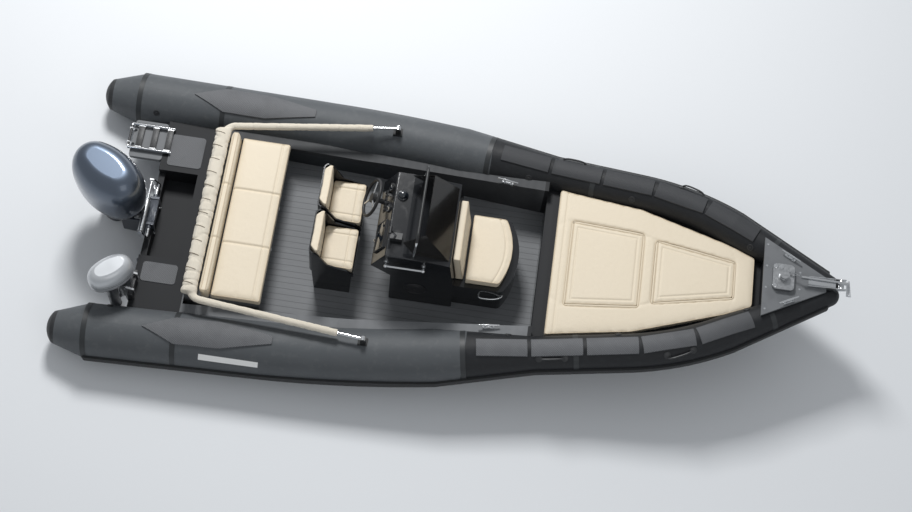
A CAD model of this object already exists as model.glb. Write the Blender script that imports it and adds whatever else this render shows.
import bmesh
import bpy
import math
from mathutils import Matrix, Vector, kdtree, noise


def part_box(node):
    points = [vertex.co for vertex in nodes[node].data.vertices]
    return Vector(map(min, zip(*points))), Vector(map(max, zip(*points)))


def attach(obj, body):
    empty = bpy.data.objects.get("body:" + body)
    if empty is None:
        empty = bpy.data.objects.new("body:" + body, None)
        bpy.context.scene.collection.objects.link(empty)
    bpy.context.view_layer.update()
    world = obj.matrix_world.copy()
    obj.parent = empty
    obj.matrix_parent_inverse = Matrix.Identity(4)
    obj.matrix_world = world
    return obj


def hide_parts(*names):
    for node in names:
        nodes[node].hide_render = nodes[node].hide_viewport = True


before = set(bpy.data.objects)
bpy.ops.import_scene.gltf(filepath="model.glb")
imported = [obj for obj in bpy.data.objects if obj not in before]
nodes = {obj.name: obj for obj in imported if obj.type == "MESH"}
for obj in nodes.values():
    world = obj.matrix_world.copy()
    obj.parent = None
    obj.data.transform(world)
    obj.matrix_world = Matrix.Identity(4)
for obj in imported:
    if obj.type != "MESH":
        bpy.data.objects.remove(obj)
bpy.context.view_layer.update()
scene = bpy.context.scene
scene.view_settings.view_transform = "Standard"

# View, water line and light
# The camera stands high over the starboard side, where the picture was taken from, and the floor lies
# at the water line. The main light comes from port, as the shadows in the picture do.
EYE = Vector((0.353, -7.050, 15.192))
AIM = Vector((0.40, 0.0, 0.35))
LEVEL = Vector((0.98679, 0.16198, 0.0))
LENS = 68
look = (AIM - EYE).normalized()
right = (LEVEL - look * LEVEL.dot(look)).normalized()
bpy.ops.object.select_all(action="DESELECT")
bpy.ops.object.camera_add()
camera = bpy.context.object
camera.data.lens = LENS
camera.data.clip_end = 200
view_turn = Matrix((right, right.cross(look), -look)).transposed().to_4x4()
camera.matrix_world = Matrix.Translation(EYE) @ view_turn
scene.camera = camera

FLOOR_SIZE = 120
bpy.ops.mesh.primitive_plane_add(size=FLOOR_SIZE, location=(0, 0, 0))
floor = bpy.context.object
floor.name = "floor"
floor_finish = bpy.data.materials.new("pale floor")
floor_finish.use_nodes = True
floor_shader = floor_finish.node_tree.nodes["Principled BSDF"]
floor_shader.inputs["Base Color"].default_value = (0.74, 0.76, 0.78, 1)
floor_shader.inputs["Roughness"].default_value = 0.7
floor.data.materials.append(floor_finish)

SKY_COLOUR = (0.93, 0.96, 1.0, 1)
SKY_STRENGTH = 0.42
sky = bpy.data.worlds.new("studio")
scene.world = sky
sky.use_nodes = True
sky_light = sky.node_tree.nodes["Background"]
sky_light.inputs["Color"].default_value = SKY_COLOUR
sky_light.inputs["Strength"].default_value = SKY_STRENGTH

# Columns: name, place, size, power
LAMPS = [
    ("sun side", (-2.6, 7.6, 10.6), 3.0, 1420),
    ("open side", (5.0, -9.0, 8.0), 7.0, 130),
]
LIT_PLACE = Vector((0.3, 0, 0.3))
for name, place, size, power in LAMPS:
    lamp = bpy.data.lights.new(name, "AREA")
    lamp.size = size
    lamp.energy = power
    holder = bpy.data.objects.new(name, lamp)
    scene.collection.objects.link(holder)
    holder.location = place
    holder.rotation_euler = (Vector(place) - LIT_PLACE).to_track_quat("Z", "Y").to_euler()


# Buoyancy tubes
# Two tapered tubes of rubber-coated cloth with conical ends, slate grey aft of a seam amidships and
# black forward. They are glued up from panels, with a tape round each joint, and carry inflation
# valves and moulded grab handles.
class Signal:
    """One output in a finish's nodes, so that a pattern is written as a sum."""

    def __init__(self, finish, socket):
        self.finish = finish
        self.socket = socket

    def __add__(self, other):
        return self.finish.maths("ADD", self, other)

    def __sub__(self, other):
        return self.finish.maths("SUBTRACT", self, other)

    def __rsub__(self, other):
        return self.finish.maths("SUBTRACT", other, self)

    def __mul__(self, other):
        return self.finish.maths("MULTIPLY", self, other)

    __radd__ = __add__
    __rmul__ = __mul__


class Finish:
    """A surface finish, whose pattern nodes are added one by one."""

    def __init__(self, name, colour, roughness, **plain):
        self.material = bpy.data.materials.new(name)
        self.material.use_nodes = True
        self.tree = self.material.node_tree
        self.shader = self.tree.nodes["Principled BSDF"]
        self.shader.inputs["Base Color"].default_value = colour + (1,)
        self.shader.inputs["Roughness"].default_value = roughness
        for socket, value in plain.items():
            self.shader.inputs[socket.replace("_", " ")].default_value = value

    def node(self, kind, settings, values, output=0):
        """Adds a node and gives one of its outputs."""
        made = self.tree.nodes.new(kind)
        for key, value in settings.items():
            setattr(made, key, value)
        for key, value in values.items():
            if isinstance(value, Signal):
                self.tree.links.new(value.socket, made.inputs[key])
            else:
                made.inputs[key].default_value = value
        return Signal(self, made.outputs[output])

    def maths(self, operation, *values):
        return self.node("ShaderNodeMath", {"operation": operation}, dict(enumerate(values)))

    def arrows(self, operation, *values, output=0):
        return self.node("ShaderNodeVectorMath", {"operation": operation}, dict(enumerate(values)), output)

    def point(self):
        return self.node("ShaderNodeTexCoord", {}, {}, "Object")

    def axes(self):
        """The place along the boat, across it and above the water."""
        place = self.point()
        return [self.node("ShaderNodeSeparateXYZ", {}, {0: place}, axis) for axis in ("X", "Y", "Z")]

    def grain(self, scale, detail=2.0, stretch=(1, 1, 1)):
        """A cloudy pattern."""
        place = self.node("ShaderNodeMapping", {}, {"Vector": self.point(), "Scale": stretch})
        return self.node("ShaderNodeTexNoise", {}, {"Vector": place, "Scale": scale, "Detail": detail})

    def rise(self, value, start, end):
        """0 below the start, 1 above the end and smooth between them."""
        return self.node("ShaderNodeMapRange", {"interpolation_type": "SMOOTHSTEP"},
                         {"Value": value, "From Min": start, "From Max": end})

    def band(self, value, low, high, soft):
        """1 between two limits and 0 outside them."""
        return self.rise(value, low - soft, low + soft) * (1 - self.rise(value, high - soft, high + soft))

    def stripes(self, value, spacing, half, soft):
        """1 on evenly spaced lines and 0 between them."""
        away = self.maths("PINGPONG", value, spacing / 2)
        return 1 - self.rise(away, half, half + soft)

    def mix(self, share, first, second):
        first = first if isinstance(first, Signal) else first + (1,)
        second = second if isinstance(second, Signal) else second + (1,)
        return self.node("ShaderNodeMix", {"data_type": "RGBA"}, {0: share, 6: first, 7: second}, 2)

    def feed(self, socket, value):
        self.tree.links.new(value.socket, self.shader.inputs[socket])

    def relief(self, height, distance):
        self.feed("Normal", self.node("ShaderNodeBump", {}, {"Height": height, "Distance": distance}))

    def on(self, *names):
        """Gives the finish to CAD nodes."""
        for name in names:
            nodes[name].data.materials.clear()
            nodes[name].data.materials.append(self.material)


def choose(*pieces):
    """Selects pieces, the last of them as the one in hand."""
    bpy.ops.object.select_all(action="DESELECT")
    for piece in pieces:
        piece.select_set(True)
    bpy.context.view_layer.objects.active = pieces[-1]


def joined(pieces):
    """Makes several pieces one."""
    choose(*pieces)
    bpy.ops.object.join()
    return bpy.context.object


# Angles in radians up to which an edge is shaded smooth
CRISP = 0.6
SOFT = 1.2


def finished(piece, name, body, finish, smooth=CRISP):
    """Names a piece, fixes it to its body and gives it its finish."""
    choose(piece)
    bpy.ops.object.transform_apply(location=True, rotation=True, scale=True)
    bpy.ops.object.shade_smooth_by_angle(angle=smooth)
    piece.name = name
    piece.data.name = name
    piece.data.materials.clear()
    piece.data.materials.append(finish.material)
    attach(piece, body)
    return piece


def edit(piece):
    """Opens a piece for editing with nothing selected."""
    choose(piece)
    bpy.ops.object.mode_set(mode="EDIT")
    bpy.ops.mesh.select_mode(type="EDGE")
    bpy.ops.mesh.select_all(action="DESELECT")
    return bmesh.from_edit_mesh(piece.data)


def turned_piece(profile, steps=32):
    """A piece turned on a lathe: a ring drawn out from one radius and height of the profile to the next."""
    bpy.ops.object.select_all(action="DESELECT")
    radius, height = profile[0]
    bpy.ops.mesh.primitive_circle_add(vertices=steps, radius=radius)
    piece = bpy.context.object
    piece.data.transform(Matrix.Translation((0, 0, height)))
    edit(piece)
    bpy.ops.mesh.select_all(action="SELECT")
    for following_radius, following_height in profile[1:]:
        rise = (0, 0, following_height - height)
        bpy.ops.mesh.extrude_region_move(TRANSFORM_OT_translate={"value": rise})
        share = following_radius / radius
        bpy.ops.transform.resize(value=(share, share, 1))
        radius, height = following_radius, following_height
    bpy.ops.mesh.select_all(action="SELECT")
    bpy.ops.mesh.remove_doubles(threshold=0.00002)
    bpy.ops.mesh.normals_make_consistent(inside=False)
    bpy.ops.object.mode_set(mode="OBJECT")
    return piece


def seat(place, facing):
    """The move that lays a piece made about the origin at a place, facing out."""
    return Matrix.Translation(place) @ Vector(facing).to_track_quat("Z", "Y").to_matrix().to_4x4()


def put(piece, move):
    """Moves a piece made about the origin to its place."""
    piece.data.transform(move)
    return piece


def copies(piece, moves):
    """Copies of a piece at their places, each with its own mesh. The pattern goes."""
    made = []
    for move in moves:
        other = piece.copy()
        other.data = piece.data.copy()
        scene.collection.objects.link(other)
        made.append(put(other, move))
    bpy.data.meshes.remove(piece.data)
    return made


def bent_tube(name, lines, radius, facets, steps=0, closed=False):
    """Tubes bent along lines of points, smoothed in a number of steps or straight."""
    curve = bpy.data.curves.new(name, "CURVE")
    curve.dimensions = "3D"
    curve.bevel_depth = radius
    curve.bevel_resolution = facets
    for points in lines:
        strand = curve.splines.new("NURBS" if steps else "POLY")
        strand.points.add(len(points) - 1)
        strand.use_cyclic_u = closed
        if steps:
            strand.use_endpoint_u = True
            strand.order_u = 3
            strand.resolution_u = steps
        for point, place in zip(strand.points, points):
            point.co = (*place, 1)
    tube = bpy.data.objects.new(name, curve)
    scene.collection.objects.link(tube)
    choose(tube)
    bpy.ops.object.convert(target="MESH")
    return bpy.context.object


SEAM_X = 0.60
CAP_X = -3.165
MARK_AFT, MARK_FORE = -1.80, -1.25
MARK_LOW, MARK_HIGH = 0.398, 0.446
MARK_INNER_Y = -1.30
MARK_WHITE = (0.92, 0.92, 0.90)
AFT_CLOTH = (0.088, 0.096, 0.103)
FORE_CLOTH = (0.007, 0.008, 0.010)
CAP_RUBBER = (0.024, 0.025, 0.027)
THREAD_SPACING = 0.0022
coated_cloth = Finish("coated cloth", AFT_CLOTH, 0.5, Specular_IOR_Level=0.4)
along, across, height = coated_cloth.axes()
forward = coated_cloth.rise(along, SEAM_X - 0.003, SEAM_X + 0.003)
cloud = coated_cloth.grain(3.5, 4)
salt = coated_cloth.rise(coated_cloth.grain(17, 5), 0.52, 0.72)
cloth_colour = coated_cloth.mix(forward, AFT_CLOTH, FORE_CLOTH)
cloth_colour = coated_cloth.mix(cloud * 0.2, cloth_colour, (0.030, 0.034, 0.038))
cloth_colour = coated_cloth.mix(salt * (1 - forward * 0.8) * 0.12, cloth_colour, (0.20, 0.21, 0.21))
cap = 1 - coated_cloth.rise(along, CAP_X - 0.002, CAP_X + 0.002)
cloth_colour = coated_cloth.mix(cap, cloth_colour, CAP_RUBBER)
mark = coated_cloth.band(along, MARK_AFT, MARK_FORE, 0.003)
mark = mark * coated_cloth.band(height, MARK_LOW, MARK_HIGH, 0.002)
mark = mark * (1 - coated_cloth.rise(across, MARK_INNER_Y - 0.02, MARK_INNER_Y))
coated_cloth.feed("Base Color", coated_cloth.mix(mark, cloth_colour, MARK_WHITE))
coated_cloth.feed("Roughness", 0.42 + cloud * 0.2)
weave = coated_cloth.stripes(along, THREAD_SPACING, 0.0003, 0.0007)
weave = weave + coated_cloth.stripes(across + height, THREAD_SPACING, 0.0003, 0.0007)
coated_cloth.relief(weave * 0.3 + coated_cloth.grain(9, 3) * 4, 0.0006)
coated_cloth.on("tube_port", "tube_starboard")

# Corners of the port tube's centreline
TUBE_CORNERS = [
    Vector((-3.200, 1.265, 0.220)),
    Vector((-0.450, 1.185, 0.300)),
    Vector((2.550, 0.765, 0.650)),
    Vector((3.880, 0.050, 0.780)),
]
SIDES = (1, -1)


def to_side(place, side):
    """A place or direction to port, or its mirror image to starboard."""
    return Vector((place.x, place.y * side, place.z))


def tube_spot(x, turn, side):
    """A place on a tube, turned outboard from its crown, and the way its skin faces there."""
    for start, end in zip(TUBE_CORNERS, TUBE_CORNERS[1:]):
        if start.x <= x <= end.x:
            middle = start.lerp(end, (x - start.x) / (end.x - start.x))
    out = Vector((0, math.sin(turn), math.cos(turn)))
    _, place, facing, _ = nodes["tube_port"].ray_cast(middle + out * 0.6, -out)
    return to_side(place, side), to_side(facing, side)


# Columns: run between two corners, share of the run, radius there
TUBE_SEAMS = [
    (0, 0.120, 0.260), (0, 0.420, 0.260), (1, 0.351, 0.2339), (1, 0.690, 0.170), (2, 0.600, 0.1402),
]
TAPE_HALF = 0.025
seam_tape = Finish("seam tape", (0.024, 0.027, 0.029), 0.5)
seam_tape.relief(seam_tape.grain(400, 2), 0.0004)
tapes = []
for run, share, radius in TUBE_SEAMS:
    start, end = TUBE_CORNERS[run], TUBE_CORNERS[run + 1]
    inner, outer = radius - 0.002, radius + 0.0025
    tape = turned_piece([(inner, -TAPE_HALF), (outer, 0.001 - TAPE_HALF), (outer, TAPE_HALF - 0.001),
                         (inner, TAPE_HALF)], 72)
    middle = start.lerp(end, share)
    heading = (end - start).normalized()
    tapes += copies(tape, [seat(to_side(middle, side), to_side(heading, side)) for side in SIDES])
finished(joined(tapes), "seam_tapes", "boat", seam_tape)

black_plastic = Finish("black plastic", (0.022, 0.023, 0.025), 0.42)
black_plastic.relief(black_plastic.grain(220, 3), 0.0005)
VALVE_PLACES = (-2.70, 0.98, 1.98, 3.12)
VALVE_TURN = -0.95
VALVE_PROFILE = [(0.032, -0.004), (0.032, 0.003), (0.028, 0.006), (0.023, 0.005), (0.022, 0.003),
                 (0.012, 0.003), (0.011, 0.008), (0.009, 0.009), (0, 0.009)]
valve_seats = [seat(*tube_spot(x, VALVE_TURN, side)) for x in VALVE_PLACES for side in SIDES]
valves = copies(turned_piece(VALVE_PROFILE, 24), valve_seats)
finished(joined(valves), "inflation_valves", "boat", black_plastic)

GRIP_PLACES = (1.40, 2.55)
GRIP_TURN = 0.64
GRIP_HALF = 0.115
GRIP_RADIUS = 0.0085
# Columns: share of half the grip's length, rise from the tube
GRIP_LINE = [(-1, 0.001), (-0.86, 0.016), (-0.6, 0.025), (0, 0.028), (0.6, 0.025), (0.86, 0.016),
             (1, 0.001)]
GRIP_FOOT = [(0.033, -0.006), (0.033, 0.002), (0.026, 0.005), (0, 0.008)]
grip_lines = []
foot_seats = []
for x in GRIP_PLACES:
    for side in SIDES:
        place, facing = tube_spot(x, GRIP_TURN, side)
        ahead, _ = tube_spot(x + 0.05, GRIP_TURN, side)
        heading = (ahead - place).normalized()
        grip_lines.append([place + heading * GRIP_HALF * share + facing * rise
                           for share, rise in GRIP_LINE])
        foot_seats += [seat(*tube_spot(x + end, GRIP_TURN, side)) for end in (-GRIP_HALF, GRIP_HALF)]
grips = bent_tube("grips", grip_lines, GRIP_RADIUS, 3, 5)
grip_feet = copies(turned_piece(GRIP_FOOT, 24), foot_seats)
finished(joined(grip_feet + [grips]), "grab_handles", "boat", black_plastic)

# Rubbing strakes
# A ribbed rubber fender glued along the outer side of each tube, black, dull and a little scuffed. The
# canopy's black hinges have the same dull finish.
STRAKE_BLACK = (0.014, 0.015, 0.016)
strake_rubber = Finish("strake rubber", (0.016, 0.017, 0.018), 0.6)
scuff = strake_rubber.rise(strake_rubber.grain(30, 5), 0.56, 0.70)
strake_rubber.feed("Base Color", strake_rubber.mix(scuff * 0.15, STRAKE_BLACK, (0.07, 0.072, 0.075)))
strake_rubber.relief(strake_rubber.grain(160, 3), 0.0015)
strake_rubber.on("rubbing_strake_port", "rubbing_strake_starboard", "bimini_hinges")

# Step pads
# Tread pads moulded in grey rubber with a raised diamond pattern, glued on the crowns of the tubes and
# on the quarter decks. The row along the port bow is nearly black, and the other grows darker forward.
TREAD_GREY = (0.165, 0.170, 0.180)
WORN_TREAD = (0.115, 0.120, 0.127)
DARK_TREAD = (0.034, 0.036, 0.040)
DIAMOND = 0.016
tread_pad = Finish("tread pad", (0.16, 0.17, 0.175), 0.62)
along, across, _ = tread_pad.axes()
groove = tread_pad.maths("MAXIMUM", tread_pad.stripes(along * 0.8 + across, DIAMOND, 0.0016, 0.002),
                         tread_pad.stripes(along * 0.8 - across, DIAMOND, 0.0016, 0.002))
wear = tread_pad.rise(tread_pad.grain(7, 5), 0.45, 0.7)
tread_colour = tread_pad.mix(wear * 0.5, TREAD_GREY, WORN_TREAD)
port_row = tread_pad.rise(along, SEAM_X, SEAM_X + 0.04) * tread_pad.rise(across, 0.02, 0.04)
darkness = tread_pad.maths("MAXIMUM", port_row, tread_pad.rise(along, 1.6, 3.6) * 0.75)
tread_colour = tread_pad.mix(darkness, tread_colour, DARK_TREAD)
tread_colour = tread_pad.mix(groove * 0.8 - darkness * 0.5, tread_colour, (0.06, 0.063, 0.067))
tread_pad.feed("Base Color", tread_colour)
tread_pad.relief(1 - groove, 0.0015)
tread_pad.on("step_pads_port", "step_pads_starboard", "stern_deck_pads")

# Hull, deck moulding and sole
# The hull is laid up in glass cloth under dark glossy gelcoat. The deck moulding bonded into it is grey
# with a dimpled non-slip pattern along the cockpit and dark elsewhere, and the sole is covered in
# grooved foam.
hull_gelcoat = Finish("hull gelcoat", (0.030, 0.034, 0.038), 0.25, Coat_Weight=0.6, Coat_Roughness=0.08)
hull_gelcoat.relief(hull_gelcoat.grain(5, 2), 0.0003)
hull_gelcoat.feed("Roughness", 0.2 + hull_gelcoat.grain(3, 3) * 0.12)
hull_gelcoat.on("hull")

NON_SKID_GREY = (0.165, 0.172, 0.180)
STAINED_GREY = (0.105, 0.110, 0.116)
SHADE_GREY = (0.012, 0.013, 0.015)
OUTER_WALL_GREY = (0.044, 0.049, 0.054)
COCKPIT_AFT_X, COCKPIT_FORE_X = -2.072, 1.153
PORT_COAMING_Y = 0.70
OUTER_WALL_Y, OUTER_WALL_TOP = 0.800, 0.330


def non_skid(name):
    """Grey gelcoat with a dimpled surface, a little stained."""
    coat = Finish(name, NON_SKID_GREY, 0.55, Specular_IOR_Level=0.3)
    dots = coat.node("ShaderNodeTexVoronoi", {}, {"Vector": coat.point(), "Scale": 120, "Randomness": 0.1})
    coat.relief(1 - coat.rise(dots, 0.2, 0.5), 0.0004)
    stain = coat.rise(coat.grain(6, 5), 0.45, 0.7)
    return coat, coat.mix(stain * 0.4, NON_SKID_GREY, STAINED_GREY)


plate_gelcoat, plate_colour = non_skid("plate gelcoat")
plate_gelcoat.feed("Base Color", plate_colour)
plate_gelcoat.on("bow_plate", "swim_platform", "bench_base")
deck_gelcoat, deck_colour = non_skid("deck gelcoat")
along, across, height = deck_gelcoat.axes()
grey_part = deck_gelcoat.band(along, COCKPIT_AFT_X, COCKPIT_FORE_X, 0.003)
grey_part = grey_part * (1 - deck_gelcoat.rise(across, PORT_COAMING_Y, PORT_COAMING_Y + 0.02) * 0.75)
from_middle = deck_gelcoat.maths("ABSOLUTE", across)
outer_wall = deck_gelcoat.rise(from_middle, OUTER_WALL_Y, OUTER_WALL_Y + 0.004)
outer_wall = outer_wall * (1 - deck_gelcoat.rise(height, OUTER_WALL_TOP - 0.004, OUTER_WALL_TOP))
deck_colour = deck_gelcoat.mix(grey_part, SHADE_GREY, deck_colour)
deck_gelcoat.feed("Base Color", deck_gelcoat.mix(outer_wall, deck_colour, OUTER_WALL_GREY))
deck_gelcoat.feed("Roughness", 0.62 - grey_part * 0.07 - outer_wall * 0.2)
deck_gelcoat.on("deck_moulding")

FOAM_GREY = (0.165, 0.172, 0.180)
PLANK_WIDTH = 0.062
sole_foam = Finish("sole foam", (0.17, 0.177, 0.182), 0.65)
_, across, _ = sole_foam.axes()
groove = sole_foam.stripes(across, PLANK_WIDTH, 0.0018, 0.0008)
fibre = sole_foam.grain(60, 4, (0.12, 1, 1))
traffic = sole_foam.grain(1.6, 3)
sole_colour = sole_foam.mix(fibre, FOAM_GREY, (0.215, 0.223, 0.231))
sole_colour = sole_foam.mix(traffic * 0.35, sole_colour, (0.13, 0.136, 0.142))
sole_foam.feed("Base Color", sole_foam.mix(groove * 0.45, sole_colour, (0.05, 0.052, 0.055)))
sole_foam.relief(fibre * 0.4 - groove, 0.0012)
sole_foam.on("cockpit_sole")

# Bow fittings
# Polished steel: the roller's cheeks, the anchor, horn cleats, ring bolts and the windlass with its
# chain wheel, from which a short run of galvanised chain leads to the anchor's shank.
STEEL_GREY = (0.72, 0.73, 0.74)
bright_steel = Finish("bright steel", STEEL_GREY, 0.16, Metallic=1.0)
bright_steel.feed("Roughness", 0.10 + bright_steel.grain(25, 5) * 0.16)
bright_steel.on("bow_roller", "anchor", "mooring_cleats", "bow_eye", "stern_eyes", "console_grab_rails",
                "ladder_lugs", "bimini_frame", "steering_rod", "platform_brackets")
worn_steel = Finish("worn steel", (0.42, 0.43, 0.44), 0.36, Metallic=1.0)
rub = worn_steel.grain(45, 5)
worn_steel.feed("Roughness", 0.25 + rub * 0.3)
worn_steel.feed("Base Color", worn_steel.mix(rub, (0.32, 0.33, 0.34), (0.52, 0.53, 0.54)))
worn_steel.relief(rub, 0.0006)
worn_steel.on("windlass", "main_propeller", "aux_propeller")

CHAIN_FROM = Vector((3.425, 0.050, 0.968))
CHAIN_TO = Vector((3.600, 0.006, 0.984))
LINK_COUNT = 8
LINK_STRETCH = 1.55
bpy.ops.object.select_all(action="DESELECT")
bpy.ops.mesh.primitive_torus_add(major_segments=20, minor_segments=8,
                                 major_radius=0.0085, minor_radius=0.003)
link = put(bpy.context.object, Matrix.Diagonal((LINK_STRETCH, 1, 1, 1)))
chain_run = CHAIN_TO - CHAIN_FROM
heading = chain_run.to_track_quat("X", "Z").to_matrix().to_4x4()
link_places = []
for number in range(LINK_COUNT):
    middle = CHAIN_FROM + chain_run * ((number + 0.5) / LINK_COUNT)
    roll = Matrix.Rotation(math.radians(45 + 90 * (number % 2)), 4, "X")
    link_places.append(Matrix.Translation(middle) @ heading @ roll)
finished(joined(copies(link, link_places)), "anchor_chain", "boat", worn_steel)

# X and Y of the foot switches and the clutch cap, and of the bow plate's bolts
SWITCH_PLACES = [(3.345, 0.098), (3.400, 0.098), (3.345, -0.098)]
SWITCH_Z = 0.944
SWITCH_PROFILE = [(0.022, -0.002), (0.022, 0.004), (0.0176, 0.007), (0.0154, 0.010), (0, 0.012)]
BOLT_PLACES = [(3.268, 0.330), (3.268, 0.110), (3.268, -0.110), (3.268, -0.330),
               (3.580, 0.085), (3.580, -0.085)]
BOLT_Z = 0.902
BOLT_PROFILE = [(0.011, -0.001), (0.011, 0.0015), (0.0075, 0.0015), (0.0075, 0.006), (0.006, 0.0072),
                (0, 0.0072)]
switch_moves = [Matrix.Translation((x, y, SWITCH_Z)) for x, y in SWITCH_PLACES]
bolt_moves = [Matrix.Translation((x, y, BOLT_Z)) for x, y in BOLT_PLACES]
caps = copies(turned_piece(SWITCH_PROFILE, 24), switch_moves)
caps += copies(turned_piece(BOLT_PROFILE, 16), bolt_moves)
finished(joined(caps), "foredeck_caps", "boat", bright_steel)

# Sunpad
# Foam cushions in cream marine vinyl over the bow locker: a surround that fits between the tubes, and
# two panels that lift out. Each is piped round its upper edge and sewn down along a line of stitching,
# and each panel has a thick welt below its edge.
VINYL_CREAM = (0.76, 0.67, 0.525)
cream_vinyl = Finish("cream vinyl", (0.74, 0.65, 0.50), 0.5, Specular_IOR_Level=0.35)
shade = cream_vinyl.grain(2.2, 3)
speck = cream_vinyl.grain(90, 3)
vinyl_colour = cream_vinyl.mix(shade * 0.5, VINYL_CREAM, (0.70, 0.605, 0.455))
cream_vinyl.feed("Base Color", cream_vinyl.mix(speck * 0.12, vinyl_colour, (0.58, 0.50, 0.38)))
pores = cream_vinyl.node("ShaderNodeTexVoronoi", {"feature": "DISTANCE_TO_EDGE"},
                         {"Vector": cream_vinyl.point(), "Scale": 420})
cream_vinyl.relief(pores * 0.6 + cream_vinyl.grain(26, 3) * 1.5, 0.0012)
piping_vinyl = Finish("piping vinyl", (0.60, 0.50, 0.36), 0.42)
piping_vinyl.relief(piping_vinyl.grain(300, 2), 0.0004)
PIPING_RADIUS = 0.0042
STUFFING_PRESSURE = 4
STUFFING_FRAMES = 15


def modify(piece, kind, **settings):
    """Adds a modifier to a piece and applies it."""
    choose(piece)
    step = piece.modifiers.new(kind.lower(), kind)
    for key, value in settings.items():
        setattr(step, key, value)
    bpy.ops.object.modifier_apply(modifier=step.name)


def copy_of(node):
    """A merged copy of a CAD node's mesh, as the start of a softer or finer piece."""
    piece = bpy.data.objects.new("copy", nodes[node].data.copy())
    scene.collection.objects.link(piece)
    choose(piece)
    bpy.ops.object.mode_set(mode="EDIT")
    bpy.ops.mesh.select_all(action="SELECT")
    bpy.ops.mesh.remove_doubles(threshold=0.0002)
    bpy.ops.object.mode_set(mode="OBJECT")
    return piece


def outlines(piece, test, spacing=0.025):
    """The closed outlines of the faces that pass a test, as evenly spaced points."""
    mesh = bmesh.new()
    mesh.from_mesh(piece.data)
    picked = {face for face in mesh.faces if test(face)}
    rim = {edge for edge in mesh.edges if len([face for face in edge.link_faces if face in picked]) == 1}
    loops = []
    while rim:
        edge = rim.pop()
        first, here = edge.verts
        corners = [first.co.copy()]
        while here is not first:
            corners.append(here.co.copy())
            following = [other for other in here.link_edges if other in rim]
            if not following:
                break
            rim.discard(following[0])
            here = following[0].other_vert(here)
        points = []
        for a, b in zip(corners, corners[1:] + corners[:1]):
            count = max(1, round((b - a).length / spacing))
            points += [a.lerp(b, number / count) for number in range(count)]
        loops.append(points)
    mesh.free()
    return loops


def pipe(pad, loops, name, body):
    """Sews piping onto a pad along outlines, drawn onto the pad's surface and evened out."""
    lines = []
    for points in loops:
        spots = []
        for place in points:
            _, spot, facing, _ = pad.closest_point_on_mesh(place)
            spots.append(spot + facing * PIPING_RADIUS * 0.35)
        neighbours = zip(spots[-1:] + spots[:-1], spots, spots[1:] + spots[:1])
        lines.append([(before + here * 2 + after) / 4 for before, here, after in neighbours])
    strip = bent_tube(name, lines, PIPING_RADIUS, 2, closed=True)
    finished(strip, name, body, piping_vinyl, SOFT)


def stuff(pad, cell, swell, ease):
    """Fills a shape like a cushion: cloth under pressure, whose swelling is held back by the foam."""
    modify(pad, "REMESH", mode="VOXEL", voxel_size=cell)
    modify(pad, "SMOOTH", factor=0.5, iterations=2)
    modify(pad, "DISPLACE", strength=-ease, mid_level=0)
    slack = [vertex.co.copy() for vertex in pad.data.vertices]
    cloth = pad.modifiers.new("stuffing", "CLOTH")
    cloth.settings.use_pressure = True
    cloth.settings.uniform_pressure_force = STUFFING_PRESSURE
    cloth.settings.effector_weights.gravity = 0
    for number in range(1, STUFFING_FRAMES + 1):
        scene.frame_set(number)
    bpy.ops.object.modifier_apply(modifier=cloth.name)
    scene.frame_set(1)
    for vertex, was in zip(pad.data.vertices, slack):
        move = vertex.co - was
        if move.length > swell:
            vertex.co = was + move.normalized() * swell
    modify(pad, "SMOOTH", factor=0.5, iterations=3)
    modify(pad, "SUBSURF", levels=1, render_levels=1)


def sew(pad, gap, half, depth, up):
    """Draws the cover down along a line of stitching: gap gives a point's distance from the line."""
    facings = [vertex.normal.copy() for vertex in pad.data.vertices]
    for vertex, facing in zip(pad.data.vertices, facings):
        away = gap(vertex.co)
        if away < 3 * half and facing.dot(up) > 0.3:
            vertex.co -= up * depth * math.exp(-(away / half) ** 2)


def cushion(node, cell, swell, rims=(), seams=(), up=Vector((0, 0, 1)), body="boat",
            finish=cream_vinyl):
    """Makes the real cushion in the place of its plain solid, piped round its rims and sewn."""
    pad = copy_of(node)
    loops = [loop for rim in rims for loop in outlines(pad, rim)]
    stuff(pad, cell, swell, swell * 0.55)
    for gap, half, depth in seams:
        sew(pad, gap, half, depth, up)
    finished(pad, node + "_pad", body, finish, SOFT)
    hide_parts(node)
    if loops:
        pipe(pad, loops, node + "_piping", body)
    return pad


def inset(node, test, distance):
    """Distance from a line of stitching that runs at a distance inside an outline."""
    plain = copy_of(node)
    points = [point for loop in outlines(plain, test, 0.006) for point in loop]
    bpy.data.objects.remove(plain)
    tree = kdtree.KDTree(len(points))
    for number, point in enumerate(points):
        tree.insert(point, number)
    tree.balance()
    return lambda co: abs(tree.find(co)[2] - distance)


def upper(face):
    """True for a face that looks up."""
    return face.normal.z > 0.95


def across_at(x):
    """Distance from a line of stitching that runs across the boat."""
    return lambda co: abs(co.x - x)


def along_at(y):
    """Distance from a line of stitching that runs along the boat."""
    return lambda co: abs(co.y - y)


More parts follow.
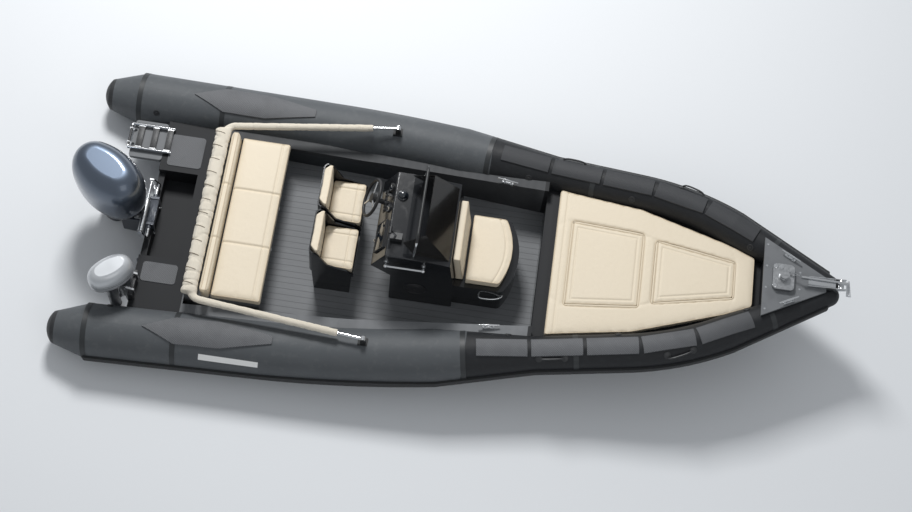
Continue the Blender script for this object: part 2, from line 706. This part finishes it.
PAD_SLOPE = math.atan2(0.185, 2.07)
PAD_UP = Vector((-math.sin(PAD_SLOPE), 0, math.cos(PAD_SLOPE)))
STITCH_HALF = 0.009
STITCH_DEPTH = 0.006
SURROUND_STITCH_X = 1.385
PANEL_STITCH_INSET = 0.055
WELT_RADIUS = 0.0115
WELT_DROP = 0.017
WELT_OUT = 0.003
surround_seam = (across_at(SURROUND_STITCH_X), STITCH_HALF, STITCH_DEPTH)
cushion("sunpad_surround", 0.0135, 0.006, [upper], [surround_seam], PAD_UP)
for panel in ("sunpad_aft_panel", "sunpad_fore_panel"):
    panel_seam = (inset(panel, upper, PANEL_STITCH_INSET), STITCH_HALF, STITCH_DEPTH)
    cushion(panel, 0.011, 0.006, [upper], [panel_seam], PAD_UP)
    plain = copy_of(panel)
    welt_lines = []
    for points in outlines(plain, upper, 0.03):
        middle = sum(points, Vector()) / len(points)
        welt_lines.append([place - PAD_UP * WELT_DROP + (place - middle).normalized() * WELT_OUT
                           for place in points])
    bpy.data.objects.remove(plain)
    welt = bent_tube("welt", welt_lines, WELT_RADIUS, 2, closed=True)
    finished(welt, panel + "_welt", "boat", cream_vinyl, SOFT)

# Bench
# A moulded locker across the stern with a foam cushion and a low backrest on it, covered in the same
# vinyl. The cushion is sewn in three parts, with a roll along its fore edge, and the locker has two
# doors and two speakers in its front.
BENCH_SEAMS_Y = (-0.285, 0.285)
ROLL_DEPTH = 0.085
_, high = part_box("bench_cushion")
bench_seams = [(along_at(y), 0.011, 0.012) for y in BENCH_SEAMS_Y]
bench_seams.append((across_at(high[0] - ROLL_DEPTH), 0.010, 0.007))
cushion("bench_cushion", 0.0125, 0.009, [upper], bench_seams)
cushion("bench_backrest", 0.0105, 0.009, [upper], [(along_at(y), 0.011, 0.010) for y in BENCH_SEAMS_Y])


def plate(width, height, thick, corner, rim=0.0015):
    """A thin plate lying on the origin, with rounded corners and a softened rim."""
    bpy.ops.object.select_all(action="DESELECT")
    bpy.ops.mesh.primitive_cube_add(size=1, location=(0, 0, thick / 2), scale=(width, height, thick))
    piece = bpy.context.object
    bpy.ops.object.transform_apply(location=True, rotation=True, scale=True)
    mesh = edit(piece)
    for edge in mesh.edges:
        low, high = sorted(vertex.co.z for vertex in edge.verts)
        edge.select_set(high - low > thick / 2)
    bpy.ops.mesh.bevel(offset=corner, segments=5)
    bpy.ops.object.mode_set(mode="OBJECT")
    modify(piece, "BEVEL", width=rim, segments=2)
    return piece


def face_seat(node, start, way, shift=(0, 0)):
    """The move that lays a piece on a CAD node's face, where a ray from start meets it."""
    _, place, facing, _ = nodes[node].ray_cast(Vector(start), Vector(way))
    return seat(place, facing) @ Matrix.Translation((*shift, 0))


def bench_front(y, z):
    """Seats on the bench's front, to port and to starboard."""
    return [face_seat("bench_base", (-1.0, y * side, z), (-1, 0, 0)) for side in SIDES]


DOOR_THICK = 0.006
RING_PROFILE = [(0.020, 0), (0.020, 0.003), (0.0155, 0.0045), (0.0155, 0.002), (0, 0.002)]
SPEAKER_PROFILE = [(0.078, 0), (0.078, 0.006), (0.070, 0.009), (0.062, 0.008), (0.060, 0.004),
                   (0.030, 0.007), (0.016, 0.009), (0, 0.010)]
bench_doors = copies(plate(0.36, 0.20, DOOR_THICK, 0.030), bench_front(0.22, 0.28))
on_door = Matrix.Translation((DOOR_THICK, 0, 0))
latch_seats = [on_door @ move for move in bench_front(0.22, 0.345)]
bench_latches = copies(turned_piece(RING_PROFILE, 24), latch_seats)
speakers = copies(turned_piece(SPEAKER_PROFILE, 40), bench_front(0.60, 0.28))
finished(joined(bench_doors), "bench_locker_doors", "boat", plate_gelcoat)
finished(joined(bench_latches), "bench_latches", "boat", bright_steel)
finished(joined(speakers), "deck_speakers", "boat", black_plastic)

# Console
# A moulding in black gelcoat, with a smoked screen let into its top, a steel hoop over the screen and a
# grab bar on each side. The dash carries a display, two gauges and a row of rocker switches.
CONSOLE_BLACK = (0.010, 0.011, 0.013)
console_gelcoat = Finish("console gelcoat", CONSOLE_BLACK, 0.22, Coat_Weight=0.35, Coat_Roughness=0.12)
dust = console_gelcoat.rise(console_gelcoat.grain(12, 5), 0.5, 0.75)
console_gelcoat.feed("Base Color", console_gelcoat.mix(dust * 0.1, CONSOLE_BLACK, (0.06, 0.06, 0.06)))
console_gelcoat.feed("Roughness", 0.14 + dust * 0.05)
console_gelcoat.relief(console_gelcoat.grain(14, 2), 0.0003)
console_gelcoat.on("console", "console_seat_box", "helm_seat_base", "helm_shells")

smoked_acrylic = Finish("smoked acrylic", (0.012, 0.011, 0.010), 0.05, Alpha=0.72, IOR=1.49)
smoked_acrylic.feed("Roughness", 0.04 + smoked_acrylic.grain(18, 4) * 0.08)
smoked_acrylic.on("windscreen")
RAIL_BLACK = (0.016, 0.017, 0.018)
RAIL_CLAMP_Y = 0.396
rail_coat = Finish("powder coat", RAIL_BLACK, 0.38)
_, across, _ = rail_coat.axes()
clamp = rail_coat.rise(rail_coat.maths("ABSOLUTE", across), RAIL_CLAMP_Y, RAIL_CLAMP_Y + 0.002)
rail_coat.feed("Base Color", rail_coat.mix(clamp, RAIL_BLACK, STEEL_GREY))
rail_coat.feed("Metallic", clamp)
rail_coat.feed("Roughness", 0.38 - clamp * 0.22)
rail_coat.on("console_rail")
black_plastic.on("dash_instruments", "steering_column", "aux_board")

DASH_FOOT = Vector((-0.370, 0, 0.800))
DASH_TOP = Vector((-0.240, 0, 1.060))
dash_up = (DASH_TOP - DASH_FOOT).normalized()
dash_out = Vector((0, -1, 0)).cross(dash_up)
dash_turn = Matrix((Vector((0, -1, 0)), dash_up, dash_out)).transposed().to_4x4()


def dash_seat(y, share):
    """The move that lays a piece on the dash, at a share of its height."""
    return Matrix.Translation(DASH_FOOT.lerp(DASH_TOP, share) + Vector((0, y, 0))) @ dash_turn


def rounded_block(low, high, rounding, segments=2):
    """A block between two corners, with rounded edges."""
    bpy.ops.object.select_all(action="DESELECT")
    bpy.ops.mesh.primitive_cube_add(size=1, location=[(a + b) / 2 for a, b in zip(low, high)])
    piece = bpy.context.object
    piece.scale = [b - a for a, b in zip(low, high)]
    bpy.ops.object.transform_apply(location=True, rotation=True, scale=True)
    modify(piece, "BEVEL", width=rounding, segments=segments)
    return piece


DISPLAY_Y = -0.190
display_glass = Finish("display glass", (0.010, 0.014, 0.020), 0.06, Coat_Weight=1.0, Coat_Roughness=0.03)
display_glass.feed("Roughness", 0.05 + display_glass.grain(30, 3) * 0.05)
glass = rounded_block((-0.132, -0.077, 0.012), (0.132, 0.077, 0.0165), 0.0015)
finished(put(glass, dash_seat(DISPLAY_Y, 0.5)), "display_screen", "boat", display_glass)

GAUGES_Y = (0.080, 0.300)
TICKS = 11
FIRST_TICK, DIAL_SWEEP, NEEDLE_TURN = 225, 270, 205
dial_paint = Finish("dial paint", (0.75, 0.75, 0.73), 0.4)
dial_paint.relief(dial_paint.grain(300, 2), 0.0002)
gauge_seats = [dash_seat(y, 0.72) for y in GAUGES_Y]
gauge_face = turned_piece([(0.0355, 0.008), (0.0355, 0.0095), (0, 0.0095)])
finished(joined(copies(gauge_face, gauge_seats)), "gauge_faces", "boat", display_glass)
tick = rounded_block((0.026, -0.0009, 0.0092), (0.033, 0.0009, 0.0102), 0.0003, 1)
needle = rounded_block((-0.006, -0.001, 0.0094), (0.024, 0.001, 0.0112), 0.0004, 1)
put(needle, Matrix.Rotation(math.radians(NEEDLE_TURN), 4, "Z"))
tick_turns = [math.radians(FIRST_TICK - DIAL_SWEEP * number / (TICKS - 1)) for number in range(TICKS)]
tick_moves = [move @ Matrix.Rotation(turn, 4, "Z") for move in gauge_seats for turn in tick_turns]
marks = copies(tick, tick_moves)
marks += copies(needle, gauge_seats)
finished(joined(marks), "gauge_marks", "boat", dial_paint)

ROCKERS = 6
ROCKER_SPACING = 0.037
ROCKER_TILT = math.radians(6)
panel_seat = dash_seat(0.190, 0.38)
rocker = rounded_block((-0.012, -0.015, 0.002), (0.012, 0.015, 0.011), 0.003)
rocker_moves = []
for number in range(ROCKERS):
    aside = Matrix.Translation(((number - (ROCKERS - 1) / 2) * ROCKER_SPACING, 0, 0))
    tilt = Matrix.Rotation(ROCKER_TILT if number % 2 else -ROCKER_TILT, 4, "X")
    rocker_moves.append(panel_seat @ aside @ tilt)
switches = copies(rocker, rocker_moves)
switches.append(put(rounded_block((-0.115, -0.021, 0), (0.115, 0.021, 0.004), 0.0018), panel_seat))
finished(joined(switches), "switch_panel", "boat", black_plastic)
IGNITION_PROFILE = [(0.019, 0), (0.019, 0.004), (0.016, 0.007), (0.011, 0.007), (0.010, 0.018), (0, 0.019)]
ignition = put(turned_piece(IGNITION_PROFILE, 24), dash_seat(DISPLAY_Y, 0.10))
finished(ignition, "ignition_switch", "boat", bright_steel)


def console_aft(across, up):
    """A seat on the console's after side, measured from the middle of its door."""
    return face_seat("console", (-1.0, 0, 0.46), (1, 0, 0), (across, up))


door = put(plate(0.44, 0.34, DOOR_THICK, 0.035), console_aft(0, 0))
finished(door, "console_door", "boat", console_gelcoat)
LATCH_PROFILE = [(0.022, 0), (0.022, 0.010), (0.017, 0.012), (0.017, 0.008), (0, 0.008)]
hinge_seats = [console_aft(0.215, up) for up in (-0.10, 0.10)]
door_fittings = copies(plate(0.034, 0.050, 0.0085, 0.004), hinge_seats)
door_fittings.append(put(turned_piece(LATCH_PROFILE, 24), console_aft(-0.185, 0)))
finished(joined(door_fittings), "console_door_fittings", "boat", bright_steel)
HATCH_PROFILE = [(0.105, 0), (0.105, 0.005), (0.100, 0.009), (0.088, 0.009), (0.086, 0.006), (0.078, 0.006),
                 (0.074, 0.010), (0.020, 0.010), (0.016, 0.006), (0, 0.006)]
hatch_seats = [face_seat("console", (0.06, side, 0.42), (0, -side, 0)) for side in SIDES]
hatches = copies(turned_piece(HATCH_PROFILE, 48), hatch_seats)
finished(joined(hatches), "inspection_hatches", "boat", black_plastic)
COMPASS_PROFILE = [(0.052, 0), (0.052, 0.008), (0.046, 0.016), (0.042, 0.018), (0.040, 0.034),
                   (0.033, 0.046), (0.020, 0.054), (0, 0.057)]
compass = put(turned_piece(COMPASS_PROFILE, 40), face_seat("console", (-0.165, 0.190, 2), (0, 0, -1)))
finished(compass, "compass", "boat", display_glass)

LEVER_BLACK = (0.022, 0.023, 0.025)
BRUSHED_STEEL = (0.70, 0.71, 0.72)
STEM_LOW, STEM_HIGH = 1.118, 1.176
lever_finish = Finish("control lever", LEVER_BLACK, 0.4)
_, _, height = lever_finish.axes()
stem = lever_finish.band(height, STEM_LOW, STEM_HIGH, 0.002)
lever_finish.feed("Base Color", lever_finish.mix(stem, LEVER_BLACK, BRUSHED_STEEL))
lever_finish.feed("Metallic", stem)
lever_finish.relief(lever_finish.grain(240, 3), 0.0005)
lever_finish.on("engine_control")

# Console seat
# A seat for one or two ahead of the console: a piped cushion with a bowed fore edge on a moulded box,
# a tall backrest padded against the console's face, and a bent steel handle on each fore corner.
_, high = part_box("console_seat_cushion")
cushion_fore_x, cushion_half_width, _ = high
SEAT_BOW = 0.096
SEAT_ROLL = 0.075
BACKREST_SEAM_Z = 0.72


def fore_roll(co):
    """Distance from the stitching that runs behind the cushion's bowed edge."""
    return abs(co.x - (cushion_fore_x - SEAT_ROLL - SEAT_BOW * (co.y / cushion_half_width) ** 2))


def level_seam(co):
    """Distance from the stitching that runs level across the backrest."""
    return abs(co.z - BACKREST_SEAM_Z)


def fore_face(face):
    """True for a face that looks forward."""
    return face.normal.x > 0.9


FORWARD = Vector((1, 0, 0))
cushion("console_seat_cushion", 0.0105, 0.009, [upper], [(fore_roll, 0.009, 0.007)])
cushion("console_seat_backrest", 0.0105, 0.009, [fore_face], [(level_seam, 0.010, 0.008)], FORWARD)
# Columns: X, distance from the middle and Z along a handle
HANDLE_LINE = [(0.660, 0.374, 0.380), (0.664, 0.404, 0.382), (0.690, 0.416, 0.385), (0.800, 0.410, 0.385),
               (0.862, 0.386, 0.385), (0.886, 0.366, 0.382), (0.880, 0.340, 0.380)]
HANDLE_RADIUS = 0.0095
handle_lines = [[(x, y * side, z) for x, y, z in HANDLE_LINE] for side in SIDES]
handles = bent_tube("handles", handle_lines, HANDLE_RADIUS, 4, 6)
finished(handles, "seat_box_handles", "boat", bright_steel, SOFT)

# Helm seats
# Two bucket seats on one moulded box: black shells whose sides fall away towards the knees, each with a
# piped cushion and a backrest with side bolsters. The box has two drawers under each seat.
SEAT_MIDDLE = 0.241
BOLSTER = 0.135
THIGH_SEAM_X = -0.61


def beside_bolster(co):
    """Distance from the stitching between a helm pad's middle and its bolsters."""
    return abs(abs(abs(co.y) - SEAT_MIDDLE) - BOLSTER)


for side in ("port", "starboard"):
    cushion("helm_cushion_" + side, 0.0095, 0.008, [upper],
            [(beside_bolster, 0.008, 0.007), (across_at(THIGH_SEAM_X), 0.008, 0.006)])
    cushion("helm_backrest_" + side, 0.0095, 0.008, [fore_face], [(beside_bolster, 0.008, 0.006)], FORWARD)

DRAWERS_Y = (-0.205, 0.205)
DRAWERS_Z = (0.235, 0.425)
PULL_RISE = 0.040
drawer_seats = [face_seat("helm_seat_base", (-2.0, y, z), (1, 0, 0)) for y in DRAWERS_Y for z in DRAWERS_Z]
drawers = copies(plate(0.37, 0.16, 0.006, 0.018), drawer_seats)
up_drawer = Matrix.Translation((0, PULL_RISE, 0))
pulls = copies(plate(0.090, 0.020, 0.010, 0.008), [move @ up_drawer for move in drawer_seats])
finished(joined(drawers), "seat_drawers", "boat", console_gelcoat)
finished(joined(pulls), "drawer_pulls", "boat", bright_steel)

# Steering wheel
# A padded rim on three steel spokes, with a padded hub. It turns on a black column that comes out of
# the dash.
WHEEL_CENTRE = (-0.450, 0.190, 0.930)
WHEEL_TILT = math.radians(25)
WHEEL_AXIS = (-math.cos(WHEEL_TILT), 0, math.sin(WHEEL_TILT))
SPOKE_FROM, SPOKE_TO = 0.047, 0.157
RIM_BLACK = (0.018, 0.018, 0.019)
wheel_finish = Finish("wheel rim", RIM_BLACK, 0.5)
from_hub = wheel_finish.arrows("SUBTRACT", wheel_finish.point(), WHEEL_CENTRE)
reach = wheel_finish.arrows("LENGTH", wheel_finish.arrows("CROSS_PRODUCT", from_hub, WHEEL_AXIS), output=1)
spoke = wheel_finish.band(reach, SPOKE_FROM, SPOKE_TO, 0.0005)
wheel_finish.feed("Base Color", wheel_finish.mix(spoke, RIM_BLACK, BRUSHED_STEEL))
wheel_finish.feed("Metallic", spoke)
wheel_finish.feed("Roughness", 0.5 - spoke * 0.32)
wheel_finish.relief(wheel_finish.grain(380, 3) * (1 - spoke), 0.0008)
wheel_finish.on("steering_wheel")

# Swim platform and ladder
# The folding ladder of bent steel tube lies on the platform, hinged on its lugs. Each of its treads is
# black and carries a ribbed plastic pad.
TREAD_INNER_Y, TREAD_OUTER_Y = 0.660, 0.880
ladder_steel = Finish("ladder steel", STEEL_GREY, 0.16, Metallic=1.0)
_, across, _ = ladder_steel.axes()
tread_part = ladder_steel.band(across, TREAD_INNER_Y, TREAD_OUTER_Y, 0.001)
ladder_steel.feed("Base Color", ladder_steel.mix(tread_part, STEEL_GREY, (0.035, 0.036, 0.038)))
ladder_steel.feed("Metallic", 1 - tread_part)
ladder_steel.feed("Roughness", 0.16 + tread_part * 0.34)
ladder_steel.on("boarding_ladder")
TREADS_X = (-2.804, -2.664, -2.524)
TREAD_TOP = 0.369
RIBS = 5
RIB_SPACING = 0.010
tread_middle = (TREAD_INNER_Y + TREAD_OUTER_Y) / 2
tread_moves = [Matrix.Translation((x, tread_middle, TREAD_TOP)) for x in TREADS_X]
rib_moves = [move @ Matrix.Translation(((number - (RIBS - 1) / 2) * RIB_SPACING, 0, 0))
             for move in tread_moves for number in range(RIBS)]
rung_pads = copies(rounded_block((-0.027, -0.100, -0.001), (0.027, 0.100, 0.003), 0.0015), tread_moves)
rung_pads += copies(rounded_block((-0.002, -0.098, 0.001), (0.002, 0.098, 0.006), 0.001, 1), rib_moves)
finished(joined(rung_pads), "ladder_tread_pads", "ladder", black_plastic)

# Folded canopy
# A canopy on a bent steel frame, rolled up in its canvas sock across the stern and sleeved along both
# arms. The cloth creases round the roll, and ties are laced over its after side.
CANVAS_CREAM = (0.89, 0.82, 0.69)
FADED_CREAM = (0.81, 0.73, 0.59)
CANVAS_THREAD = 0.0016
canvas = Finish("cream canvas", (0.86, 0.78, 0.65), 0.85, Sheen_Weight=0.25)
along, across, height = canvas.axes()
canvas.feed("Base Color", canvas.mix(canvas.grain(3, 4) * 0.6, CANVAS_CREAM, FADED_CREAM))
warp = canvas.stripes(along + height, CANVAS_THREAD, 0.0002, 0.0005)
weft = canvas.stripes(across + height, CANVAS_THREAD, 0.0002, 0.0005)
canvas.relief(warp + weft + canvas.grain(40, 4) * 3, 0.0006)
ROLL_X, ROLL_Z = -1.990, 0.560
ROLL_HALF_WIDTH, ROLL_HALF_HEIGHT = 0.083, 0.062
ROLL_END = 0.86
ROLL_FOLD, SLEEVE_FOLD = 0.011, 0.005
FORE_FOLD_SHARE = 0.55
sock = cushion("bimini_sock", 0.0118, 0.005, finish=canvas, body="bimini")
facings = [vertex.normal.copy() for vertex in sock.data.vertices]
for vertex, facing in zip(sock.data.vertices, facings):
    x, y, z = vertex.co
    on_roll = abs(y) < ROLL_END
    place = Vector((x * 4, y * 13, z * 4)) if on_roll else Vector((x * 11, y * 4, z * 4))
    fold = max(0.0, 1 - 2.6 * abs(noise.noise(place)))
    share = 1.0 if x < ROLL_X else FORE_FOLD_SHARE
    vertex.co -= facing * (ROLL_FOLD if on_roll else SLEEVE_FOLD) * fold ** 2 * share

TIE_COUNT = 12
TIES_HALF_Y = 0.80
TIE_SLANT = 0.055
TIE_RADIUS = 0.0032
TIE_LIFT = 0.002
TIE_STEPS = 10
TIE_FROM, TIE_SWEEP = 70, 150
tie_cord = Finish("tie cord", (0.16, 0.12, 0.08), 0.7)
tie_cord.relief(tie_cord.grain(500, 2), 0.0005)
tie_lines = []
for number in range(TIE_COUNT):
    start_y = TIES_HALF_Y * (2 * number / (TIE_COUNT - 1) - 1)
    line = []
    for step in range(TIE_STEPS + 1):
        turn = math.radians(TIE_FROM + TIE_SWEEP * step / TIE_STEPS)
        spot = Vector((ROLL_X + (ROLL_HALF_WIDTH + TIE_LIFT) * math.cos(turn),
                       start_y + TIE_SLANT * step / TIE_STEPS,
                       ROLL_Z + (ROLL_HALF_HEIGHT + TIE_LIFT) * math.sin(turn)))
        _, skin, facing, _ = sock.closest_point_on_mesh(spot)
        line.append(skin + facing * TIE_LIFT)
    tie_lines.append(line)
finished(bent_tube("ties", tie_lines, TIE_RADIUS, 1), "sock_ties", "bimini", tie_cord, SOFT)

# Main outboard
# A large outboard steered to port of the boat's line: a metallic blue grey cowl with a sealed seam and
# air slots, on a dark leg, with a steel screw and a hydraulic steering cylinder at its front. Four bolts
# go through the transom.
APRON_TOP = 0.545
GASKET_LOW, GASKET_HIGH = 0.538, 0.550
LEG_BLUE = (0.035, 0.042, 0.055)
cowl_paint = Finish("cowl paint", (0.10, 0.13, 0.18), 0.4, Metallic=0.95, Coat_Weight=1.0,
                    Coat_Roughness=0.05)
_, _, height = cowl_paint.axes()
apron = 1 - cowl_paint.rise(height, APRON_TOP - 0.002, APRON_TOP + 0.002)
flake = cowl_paint.node("ShaderNodeTexVoronoi", {"feature": "F1"},
                        {"Vector": cowl_paint.point(), "Scale": 900})
paint_colour = cowl_paint.mix(flake * 0.6, (0.135, 0.168, 0.220), (0.060, 0.078, 0.110))
gasket = cowl_paint.band(height, GASKET_LOW, GASKET_HIGH, 0.0006)
cowl_colour = cowl_paint.mix(apron, paint_colour, (0.018, 0.026, 0.045))
cowl_paint.feed("Base Color", cowl_paint.mix(gasket, cowl_colour, (0.006, 0.006, 0.007)))
cowl_paint.feed("Roughness", 0.36 + cowl_paint.grain(8, 3) * 0.08)
cowl_paint.on("main_cowl")
leg_paint = Finish("leg paint", LEG_BLUE, 0.34, Metallic=0.3, Coat_Weight=0.4, Coat_Roughness=0.15)
salt = leg_paint.rise(leg_paint.grain(14, 5), 0.5, 0.72)
leg_paint.feed("Base Color", leg_paint.mix(salt * 0.3, LEG_BLUE, (0.16, 0.165, 0.17)))
leg_paint.feed("Roughness", 0.28 + salt * 0.3)
leg_paint.relief(leg_paint.grain(60, 3), 0.0004)
leg_paint.on("main_leg", "main_clamp_bracket", "main_swivel_bracket", "aux_leg")
bare_alloy = Finish("bare alloy", (0.62, 0.63, 0.64), 0.34, Metallic=1.0)
brushed = bare_alloy.grain(70, 4, (1, 0.15, 1))
bare_alloy.feed("Roughness", 0.24 + brushed * 0.22)
bare_alloy.on("steering_cylinder", "aux_clamp_bracket", "aux_swivel_bracket")

BRACKET_FACE_X = -2.500
BRACKET_BOLTS_Y = (-0.137, 0.137)
BRACKET_BOLTS_Z = (0.152, 0.190)
NUT_PROFILE = [(0.017, -0.0005), (0.017, 0.003), (0.011, 0.003), (0.011, 0.011), (0.008, 0.013),
               (0, 0.013)]
nut_seats = [seat((BRACKET_FACE_X, y, z), (1, 0, 0)) for y in BRACKET_BOLTS_Y for z in BRACKET_BOLTS_Z]
transom_bolts = copies(turned_piece(NUT_PROFILE, 24), nut_seats)
finished(joined(transom_bolts), "transom_bolts", "boat", bright_steel)

# Auxiliary outboard
# A small outboard in silver paint with two dark lines, over a grey lower pan. It is clamped on its own
# board to starboard and turned aside when it isn't running.
PAN_TOP = 0.613
LINES = [(0.676, 0.684), (0.700, 0.704)]
SILVER = (0.54, 0.56, 0.58)
aux_paint = Finish("silver paint", (0.52, 0.54, 0.56), 0.34, Metallic=0.35, Coat_Weight=0.8,
                   Coat_Roughness=0.08)
_, _, height = aux_paint.axes()
wide_line, thin_line = [aux_paint.band(height, low, high, 0.001) for low, high in LINES]
pan = 1 - aux_paint.rise(height, PAN_TOP, PAN_TOP + 0.003)
silver_colour = aux_paint.mix(wide_line + thin_line, SILVER, (0.10, 0.11, 0.12))
aux_paint.feed("Base Color", aux_paint.mix(pan, silver_colour, (0.12, 0.13, 0.14)))
aux_paint.feed("Roughness", 0.28 + aux_paint.grain(9, 3) * 0.14)
aux_paint.on("aux_cowl")
